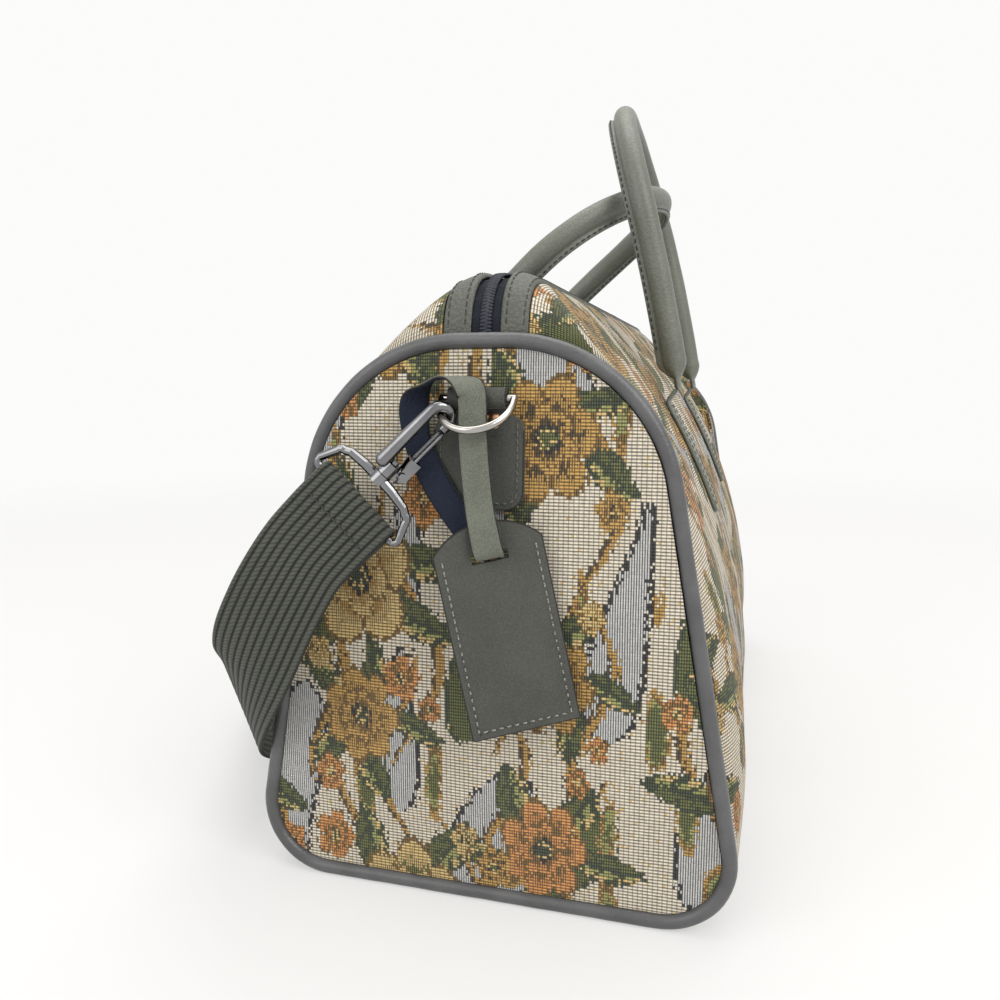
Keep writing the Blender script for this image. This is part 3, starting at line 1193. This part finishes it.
def bent(h, lean, bend):
    """Place, outward and upward directions at a height on a handle whose bow curls evenly: an arc of bend degrees."""
    lean, k = math.radians(lean), math.radians(bend) / HANDLE_H
    a = lean + k * h
    place = np.stack([(np.cos(a) - math.cos(lean)) / k, (np.sin(a) - math.sin(lean)) / k], axis=-1)
    return place, np.stack([np.cos(a), np.sin(a)], axis=-1), np.stack([-np.sin(a), np.cos(a)], axis=-1)


def bow_line():
    """Flat middle line of a handle: two straight legs and a half circle, as distance along the bag and height."""
    leg_h = HANDLE_H - BOW_R
    foot = np.concatenate([np.array([-0.97, -0.7, 0.0]) * BARREL_R, np.linspace(NECK_H, FOOT_H, 14),
                           np.linspace(FOOT_H, leg_h, 40)[1:]])
    a = np.linspace(0, math.pi, 110)[1:-1]
    leg = np.stack([np.full(len(foot), -BOW_R), foot], axis=1)
    arc = np.stack([-BOW_R * np.cos(a), leg_h + BOW_R * np.sin(a)], axis=1)
    return np.concatenate([leg, arc, (leg * np.array([-1, 1]))[::-1]])


def roll_size(h):
    """Half width, half thickness and flange at a height: a flat neck that swells into the round roll along a sine."""
    k = np.sin(math.pi / 2 * np.clip((h - NECK_H) / (FOOT_H - NECK_H), 0, 1))
    neck = np.where(h < 0, np.sqrt(np.maximum(0.0, BARREL_R**2 - h * h)), BARREL_R)
    return mix(BARREL_HALF, HANDLE_R, k), mix(neck, HANDLE_R, k), FLANGE_W * np.maximum(k, 0.05)


def handle_point(line, across, out, lean, bend, way):
    """Carry offsets across and out of a handle's flat onto its bent place: arrays of (rows, columns)."""
    d = tangents(line)
    place, outward, upward = bent(line[:, 1], lean, bend)
    up = -d[:, :1] * across
    x = line[:, :1] + d[:, 1:] * across
    y = place[:, :1] + up * upward[:, :1] + out * outward[:, :1]
    z = place[:, 1:] + up * upward[:, 1:] + out * outward[:, 1:]
    return np.stack([x, (y + HANDLE_Y) * way, z + HANDLE_Z], axis=-1)


class BAG_OT_handles(bpy.types.Operator):
    """Roll the two leather handles with a stitched flange on the side that faces the zip"""

    bl_idname = "bag.handles"
    bl_label = "Handles"

    def execute(self, context):
        line = bow_line()
        half, thick, flange = roll_size(line[:, 1])
        start = math.asin(FLANGE_HALF / HANDLE_R)
        a = np.linspace(start, math.tau - start, 34)
        along = run_along(line)
        lip = np.broadcast_to(np.array([1.0, 1.0, 0.55, -0.55, -1.0, -1.0]) * FLANGE_HALF, (len(line), 6))
        drop = -thick[:, None] - flange[:, None] * np.array([[0.25, 0.85, 1.0, 1.0, 0.85, 0.25]])
        for name, lean, bend, way in HANDLES:
            puff = 1 - 0.012 * (1 + np.sin(along / 17.0 + way)) - 0.008 * (1 + np.sin(along / 5.3))
            full = np.where(line[:, 1] > FOOT_H, puff, 1.0)[:, None]
            across = np.concatenate([-half[:, None] * full * np.sin(a)[None], lip], axis=1)
            out = np.concatenate([-thick[:, None] * full * np.cos(a)[None], drop], axis=1)
            made = loft(handle_point(line, across, out, lean, bend, way))
            add_piece(name + "_handle_roll", [made], paint("leather"), name + "_handle", [name + "_handle"])
            sewn = line[line[:, 1] > FOOT_H + 4.0]
            seams = []
            for side in (-1.0, 1.0):
                depth = np.full((len(sewn), 1), -HANDLE_R - 0.62 * FLANGE_W)
                spot = handle_point(sewn, np.full((len(sewn), 1), side * FLANGE_HALF), depth, lean, bend, way)[:, 0]
                base = handle_point(sewn, np.zeros((len(sewn), 1)), depth, lean, bend, way)[:, 0]
                seams.append(stitch_set(spot, unit(spot - base), *HANDLE_STITCH))
            add_piece(name + "_handle_stitches", seams, paint("dark_thread"), name + "_handle")
        return {"FINISHED"}


# A handle tab: the place round the section where it leaves the bag, its sizes and the inset of its stitches
TAB_TOP_S, TAB_LEN, TAB_W, TAB_T, TAB_NECK, TAB_CORNER = 1.74, 62.0, 18.0, 2.2, 10.0, 6.0
SEAM_INSET = 2.4


def tab_line():
    """Middle line of a handle tab in YZ, from its low end up the bag's side and out to the pivot.

    Where it leaves the side, its points are smoothed three times by their neighbours.
    """
    s = np.linspace(1.0, TAB_TOP_S, 400)
    y, z = section(1.0, s, 0.2 + TAB_T / 2)
    arc = run_along(np.stack([y, z], axis=1))
    keep = arc > arc[-1] - TAB_LEN
    side = np.stack([y[keep], z[keep]], axis=1)[::4]
    pivot = np.array([HANDLE_Y, HANDLE_Z])
    away = unit(pivot - side[-1])
    stop = pivot - away * (BARREL_R + 0.35)
    rise = mix(side[-1], stop, np.linspace(0, 1, 8)[1:, None])
    bow = np.concatenate([side, rise])
    first = len(side) - 8
    for _ in range(3):
        bow[first:-1] = 0.25 * bow[first - 1:-2] + 0.5 * bow[first:-1] + 0.25 * bow[first + 1:]
    return bow


class BAG_OT_tabs(bpy.types.Operator):
    """Sew the four handle tabs on the sides, with a line of stitches round each"""

    bl_idname = "bag.tabs"
    bl_label = "Handle Tabs"

    def execute(self, context):
        bow = tab_line()
        rows = len(bow)
        run = run_along(bow)
        round_ = TAB_CORNER - np.sqrt(np.maximum(0.0, TAB_CORNER**2 - (TAB_CORNER - run) ** 2))
        low = np.where(run < TAB_CORNER, round_, 0.0)
        taper = smooth_step((run - (TAB_LEN - 9.0)) / 9.0)
        width = 2 * (mix(TAB_W / 2, TAB_NECK / 2, taper) - low)
        line = np.concatenate([np.zeros((rows, 1)), bow], axis=1)
        across = np.array([1.0, 0.0, 0.0])
        body = loft(ribbon_rings(line, np.broadcast_to(across, line.shape), width, TAB_T, 25))
        out = np.cross(across, tangents(line))
        out = out * np.sign(out[:, 1:2])
        pick = (run > SEAM_INSET + 1.0) & (run < TAB_LEN - 2.0)
        reach = (width / 2 - SEAM_INSET)[pick][:, None] * across[None]
        face, out = (line + out * TAB_T / 2)[pick], out[pick]
        seams = [(face + reach, out), (face - reach, out)]
        for row in (0, -6):
            cross_line = mix(face[row] - reach[row], face[row] + reach[row], np.linspace(0, 1, 6)[:, None])
            seams.append((cross_line, out[row]))
        threads = [stitch_set(p, n, *TAB_STITCH) for p, n in seams]
        for end, flip in ENDS:
            shift = np.array([-flip * BOW_R, 0, 0])
            for name, way in (("back", 1), ("front", -1)):
                moved = [(v + shift, f, u) for v, f, u in [body] + threads]
                moved = moved if way > 0 else [mirrored(part, 1) for part in moved]
                tab = f"{name}_{end}_handle_tab"
                add_piece(tab + "_leather", moved[:1], paint("leather"), "bag", [tab])
                add_piece(f"{name}_{end}_tab_stitches", moved[1:], paint("grey_thread"), "bag")
        return {"FINISHED"}


# The end tab's patch, and the luggage tag's place, turns and sizes
PATCH_W, PATCH_H, PATCH_DROP, PATCH_CORNER, PATCH_T, PATCH_TILT = 35.0, 42.0, 6.0, 7.0, 2.2, math.radians(2.86)
TAG_SLOT, TAG_LEAN, TAG_TWIST = np.array([-213.5, -6.5, 147.0]), math.radians(-12.5), math.radians(20.0)
TAG_W, TAG_LEN, TAG_RISE, TAG_ARCH, TAG_FACE = 41.0, 80.0, 13.0, 9.0, 1.6


def on_patch(x, y, z):
    """Place on the end patch: its frame stands at the loop's back and tips about Y by the patch's tilt."""
    c, s = math.cos(PATCH_TILT), math.sin(PATCH_TILT)
    x, y, z = np.broadcast_arrays(np.asarray(x, float), y, z)
    return np.stack([x * c + z * s + LOOP[0] + LOOP_R - 0.4, y, -x * s + z * c + LOOP[2]], axis=-1)


def on_tag(x, y, z):
    """Place on the luggage tag: its frame twists about Z, leans about X and hangs at the slot."""
    x, y, z = np.broadcast_arrays(np.asarray(x, float), y, z)
    a, b = x * math.cos(TAG_TWIST) - y * math.sin(TAG_TWIST), x * math.sin(TAG_TWIST) + y * math.cos(TAG_TWIST)
    c, s = math.cos(TAG_LEAN), math.sin(TAG_LEAN)
    return np.stack([a, b * c - z * s, b * s + z * c], axis=-1) + TAG_SLOT


def round_corner_line(half, low, high, corner, steps=7):
    """Open line down one side, round two corners and up the other: pairs of (across, up)."""
    a = np.linspace(0, math.pi / 2, steps)
    right = np.stack([half - corner + corner * np.cos(a), low + corner - corner * np.sin(a)], axis=1)
    top = np.linspace(high, low + corner, 16)[:-1]
    side = np.concatenate([np.stack([np.full(15, half), top], axis=1), right])
    return np.concatenate([side, (side * np.array([-1, 1]))[::-1]])


class BAG_OT_end_tabs(bpy.types.Operator):
    """Finish the end tabs: dark cut edges, rolled ends of the loop and a line of stitches"""

    bl_idname = "bag.end_tabs"
    bl_label = "End Tabs"

    def execute(self, context):
        line, rim = (round_corner_line(PATCH_W / 2 - inset, -PATCH_H + inset, top, PATCH_CORNER - inset)
                     for inset, top in ((SEAM_INSET, -PATCH_DROP - 3.0), (0.1, -PATCH_DROP - PATCH_CORNER + 1.0)))
        normal = on_patch(-1.0, 0.0, 0.0) - on_patch(0.0, 0.0, 0.0)
        path = on_patch(-PATCH_T, line[:, 0], line[:, 1])
        edge = loft(tube_rings(on_patch(-PATCH_T + 0.25, rim[:, 0], rim[:, 1]), 0.36, 8, up=(1.0, 0.0, 0.0)))
        a = np.linspace(0.4, math.tau * 1.35, 60)
        r = mix(LOOP_BORE + 0.5, LOOP_R - 0.25, a / a[-1])
        coil = np.stack([LOOP[0] + r * np.cos(a), np.full(len(a), LOOP_LEN / 2), LOOP[2] + r * np.sin(a)], axis=1)
        spirals = [loft(tube_rings(coil * np.array([1, k, 1]), 0.22, 6, up=(0.0, 1.0, 0.0))) for k in (-1, 1)]
        for name, flip in ENDS:
            turn = np.array([flip, 1, 1])
            stitch_row(name + "_tab", path * turn, normal * turn, "grey_thread", "bag", 2.9)
            parts = [at_end(part, flip) for part in [edge] + spirals]
            add_piece(name + "_tab_edge", parts, paint("edge"), "bag")
        return {"FINISHED"}


class BAG_OT_tag(bpy.types.Operator):
    """Finish the luggage tag: dark cut edges, and stitches down the sides and along the bottom of both faces"""

    bl_idname = "bag.tag"
    bl_label = "Luggage Tag"

    def execute(self, context):
        low, side_top = TAG_RISE - TAG_LEN, TAG_RISE - TAG_ARCH
        inset = 2.7
        line = round_corner_line(TAG_W / 2 - inset, low + inset, side_top - 2.0, 0.6, 4)
        for name, side in (("face", -1), ("back", 1)):
            path = on_tag(side * TAG_FACE, line[:, 0], line[:, 1])
            normal = on_tag(side, 0.0, 0.0) - on_tag(0.0, 0.0, 0.0)
            stitch_row(name + "_tag", path, normal, "pale_thread", "luggage_tag", 3.0)
        arch_r = ((TAG_W / 2) ** 2 + TAG_ARCH**2) / (2 * TAG_ARCH)
        y = np.linspace(-TAG_W / 2, TAG_W / 2, 40)
        top = np.stack([y, TAG_RISE - arch_r + np.sqrt(arch_r**2 - y**2)], axis=1)
        rim = np.concatenate([round_corner_line(TAG_W / 2, low, side_top, 0.4, 4), top])
        lines = [on_tag(x, rim[:, 0], rim[:, 1]) for x in (-TAG_FACE + 0.35, -0.55, 0.55, TAG_FACE - 0.35)]
        edges = [loft(tube_rings(line, 0.40, 8, up=(1.0, 0.0, 0.0), closed=True), closed=True) for line in lines]
        add_piece("tag_edges", edges, paint("edge"), "luggage_tag")
        return {"FINISHED"}


class BAG_OT_springs(bpy.types.Operator):
    """Bend the gate springs: half a turn of wire round the pin, with one leg that follows the gate"""

    bl_idname = "bag.springs"
    bl_label = "Gate Springs"

    def execute(self, context):
        twist, coil_r, leg = math.radians(35.0), 1.5, 6.0
        x_axis = SPINE_FLAT * math.cos(twist) + SPINE_OUT * math.sin(twist)
        axes = np.array([x_axis, np.cross(-HOOK_DOWN, x_axis), -HOOK_DOWN])
        a = np.linspace(math.pi, math.tau, 25)
        half_turn = coil_r * np.stack([np.cos(a), np.sin(a)], axis=1)
        flat = np.concatenate([[[-coil_r, leg], [-coil_r, leg / 2]], half_turn, [[coil_r, 1.0]]])
        local = np.stack([flat[:, 0] - 5.0, np.full(len(flat), 1.3), flat[:, 1] + 6.0], axis=1)
        path = SWIVEL + local @ axes
        for name, flip in ENDS:
            turn = np.array([flip, 1.0, 1.0])
            wire = loft(tube_rings(path * turn, 0.29, 10, up=tuple(axes[1] * turn)))
            spring = new_object(name + "_spring_wire", *wire)
            spring.data.materials.append(paint("spring"))
            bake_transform(spring)
            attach(spring, name + "_hook")
            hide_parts(name + "_gate_spring")
        return {"FINISHED"}


class BAG_OT_finishes(bpy.types.Operator):
    """Give the frame's own pieces their metal, leather and cloth finishes"""

    bl_idname = "bag.finishes"
    bl_label = "Finishes"

    def execute(self, context):
        looks = {"lining": "lining", "base_board": "board", "front_zip_tape": "tape", "back_zip_tape": "tape",
                 "zip_stops": "zip_metal", "zip_slider": "zip_metal", "zip_pull": "zip_metal",
                 "luggage_tag_face": "nubuck", "luggage_tag_back": "nubuck"}
        for end, _ in ENDS:
            looks.update({end + "_end_tab": "nubuck", end + "_rivet": "copper", end + "_ring": "nickel"})
            looks.update({end + piece: "chrome" for piece in ("_hook", "_gate", "_gate_pin", "_strap_eye")})
        for name, look in looks.items():
            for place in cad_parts[name].material_slots:
                place.material = paint(look)
        return {"FINISHED"}


OPERATORS = (BAG_OT_stage, BAG_OT_strap, BAG_OT_panels, BAG_OT_piping, BAG_OT_zip, BAG_OT_handles, BAG_OT_tabs,
             BAG_OT_end_tabs, BAG_OT_tag, BAG_OT_tag_strap, BAG_OT_springs, BAG_OT_finishes)


class BAG_PT_panel(bpy.types.Panel):
    """Sidebar panel with the bag's settings and pieces"""

    bl_idname = "BAG_PT_panel"
    bl_label = "Tapestry Bag"
    bl_space_type = "VIEW_3D"
    bl_region_type = "UI"
    bl_category = "Bag"

    def draw(self, context):
        for name in BagSettings.__annotations__:
            self.layout.prop(context.scene.bag_settings, name)
        for operator in OPERATORS:
            self.layout.operator(operator.bl_idname)


CLASSES = (BagSettings,) + OPERATORS + (BAG_PT_panel,)


def register():
    """Add the classes and the scene's settings."""
    for cls in CLASSES:
        bpy.utils.register_class(cls)
    bpy.types.Scene.bag_settings = bpy.props.PointerProperty(type=BagSettings)


def unregister():
    """Take the settings and the classes away again."""
    del bpy.types.Scene.bag_settings
    for cls in reversed(CLASSES):
        bpy.utils.unregister_class(cls)


def main():
    """Build every piece in order."""
    register()
    for operator in OPERATORS:
        group, name = operator.bl_idname.split(".")
        getattr(getattr(bpy.ops, group), name)()


if __name__ == "__main__":
    main()
